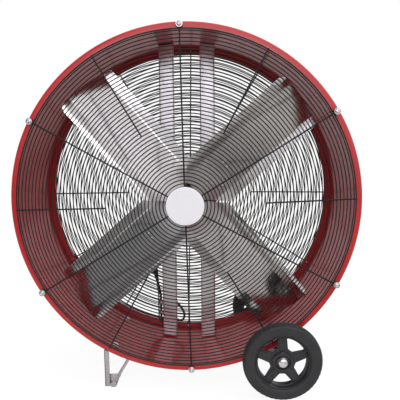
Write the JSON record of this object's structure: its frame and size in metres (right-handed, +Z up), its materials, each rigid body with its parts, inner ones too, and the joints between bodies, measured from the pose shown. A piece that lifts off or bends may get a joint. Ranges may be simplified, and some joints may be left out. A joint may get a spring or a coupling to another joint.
{
  "type": "drum fan",
  "caption": "Large round belt-driven drum fan with wire guards front and rear, standing on a wheel pair and a leg pair.",
  "frame": {"origin": "on the floor, below the middle of the drum", "axes": "+Z up, +Y along the fan axis towards the intake side, air leaves towards -Y, +X towards the wheels"},
  "size_m": [1.124, 0.5224, 1.1848],
  "materials": {
    "drum_paint": "glossy red powder coat",
    "guard_wire": "satin near-black coating on wire",
    "badge_plate": "plain white satin disc with a thin black edge",
    "zinc_fasteners": "bright zinc plate",
    "galvanised_steel": "galvanised sheet with faint spangle",
    "cast_parts": "dark satin paint on castings",
    "hub_steel": "dark grey satin paint on pressed steel",
    "shaft_steel": "turned steel",
    "blade_aluminium": "mill-finish sheet, brushed along the blade",
    "motor_bell": "die-cast, satin",
    "motor_paint": "black satin enamel",
    "black_plastic": "fine moulded texture",
    "knob_plastic": "satin black with a white pointer line",
    "belt_rubber": "cloth-faced belt",
    "lead_rubber": "matt black sheath",
    "tyre_rubber": "matt, ribbed tread",
    "wheel_plastic": "satin moulded, five spokes",
    "chrome_cap": "bright push-on cap"
  },
  "bodies": {
    "root": {"drum_shell": "drum_paint", "rear_guard_rings": "guard_wire", "rear_guard_spokes": "guard_wire", "front_guard_rings": "guard_wire", "front_guard_spokes": "guard_wire", "guard_badge": "badge_plate", "front_screw_1": "zinc_fasteners", "front_screw_2": "zinc_fasteners", "front_screw_3": "zinc_fasteners", "front_screw_4": "zinc_fasteners", "front_screw_5": "zinc_fasteners", "front_screw_6": "zinc_fasteners", "rear_screw_1": "zinc_fasteners", "rear_screw_2": "zinc_fasteners", "rear_screw_3": "zinc_fasteners", "rear_screw_4": "zinc_fasteners", "rear_screw_5": "zinc_fasteners", "rear_screw_6": "zinc_fasteners", "strut_left": "galvanised_steel", "strut_right": "galvanised_steel", "strut_bolt_1": "zinc_fasteners", "strut_bolt_2": "zinc_fasteners", "strut_bolt_3": "zinc_fasteners", "strut_bolt_4": "zinc_fasteners", "bearing_plate": "galvanised_steel", "bearing_front": "cast_parts", "bearing_rear": "cast_parts", "motor_front_bell": "motor_bell", "motor_shell": "motor_paint", "motor_rear_bell": "motor_bell", "motor_terminal_box": "black_plastic", "motor_mount_plate": "galvanised_steel", "drive_belt": "belt_rubber", "switch_box": "black_plastic", "switch_box_cover": "black_plastic", "motor_lead": "lead_rubber", "lead_clip_1": "zinc_fasteners", "lead_clip_2": "zinc_fasteners", "axle": "shaft_steel", "hub_cap_front": "chrome_cap", "hub_cap_rear": "chrome_cap", "axle_bracket_front": "galvanised_steel", "axle_bracket_rear": "galvanised_steel", "leg_front": "galvanised_steel", "leg_rear": "galvanised_steel"},
    "rotor": {"fan_shaft": "shaft_steel", "blade_hub": "hub_steel", "hub_nut": "zinc_fasteners", "fan_pulley": "cast_parts", "blade_1": "blade_aluminium", "blade_2": "blade_aluminium", "blade_3": "blade_aluminium", "blade_4": "blade_aluminium"},
    "motor_rotor": {"motor_shaft": "shaft_steel", "motor_pulley": "cast_parts"},
    "front_wheel": {"wheel_tyre_front": "tyre_rubber", "wheel_rim_front": "wheel_plastic"},
    "rear_wheel": {"wheel_tyre_rear": "tyre_rubber", "wheel_rim_rear": "wheel_plastic"},
    "knob": {"switch_knob": "knob_plastic"}
  },
  "joints": [
    {"name": "fan_spin", "type": "hinge", "parent": "root", "child": "rotor", "pos_m": [0, 0, 0.62], "axis": [0, 1, 0], "continuous": true},
    {"name": "motor_spin", "type": "hinge", "parent": "root", "child": "motor_rotor", "pos_m": [-0.195, 0, 0.452], "axis": [0, 1, 0], "continuous": true},
    {"name": "front_wheel_spin", "type": "hinge", "parent": "root", "child": "front_wheel", "pos_m": [0.303, -0.24, 0.126], "axis": [0, 1, 0], "continuous": true},
    {"name": "rear_wheel_spin", "type": "hinge", "parent": "root", "child": "rear_wheel", "pos_m": [0.303, 0.24, 0.126], "axis": [0, 1, 0], "continuous": true},
    {"name": "knob_turn", "type": "hinge", "parent": "root", "child": "knob", "pos_m": [-0.081, 0.2, 0.2528], "axis": [0, 1, 0], "range_deg": [0, 120]}
  ],
  "couplings": [
    {"joint": "motor_spin", "follows": "fan_spin", "ratio": 3.12}
  ]
}
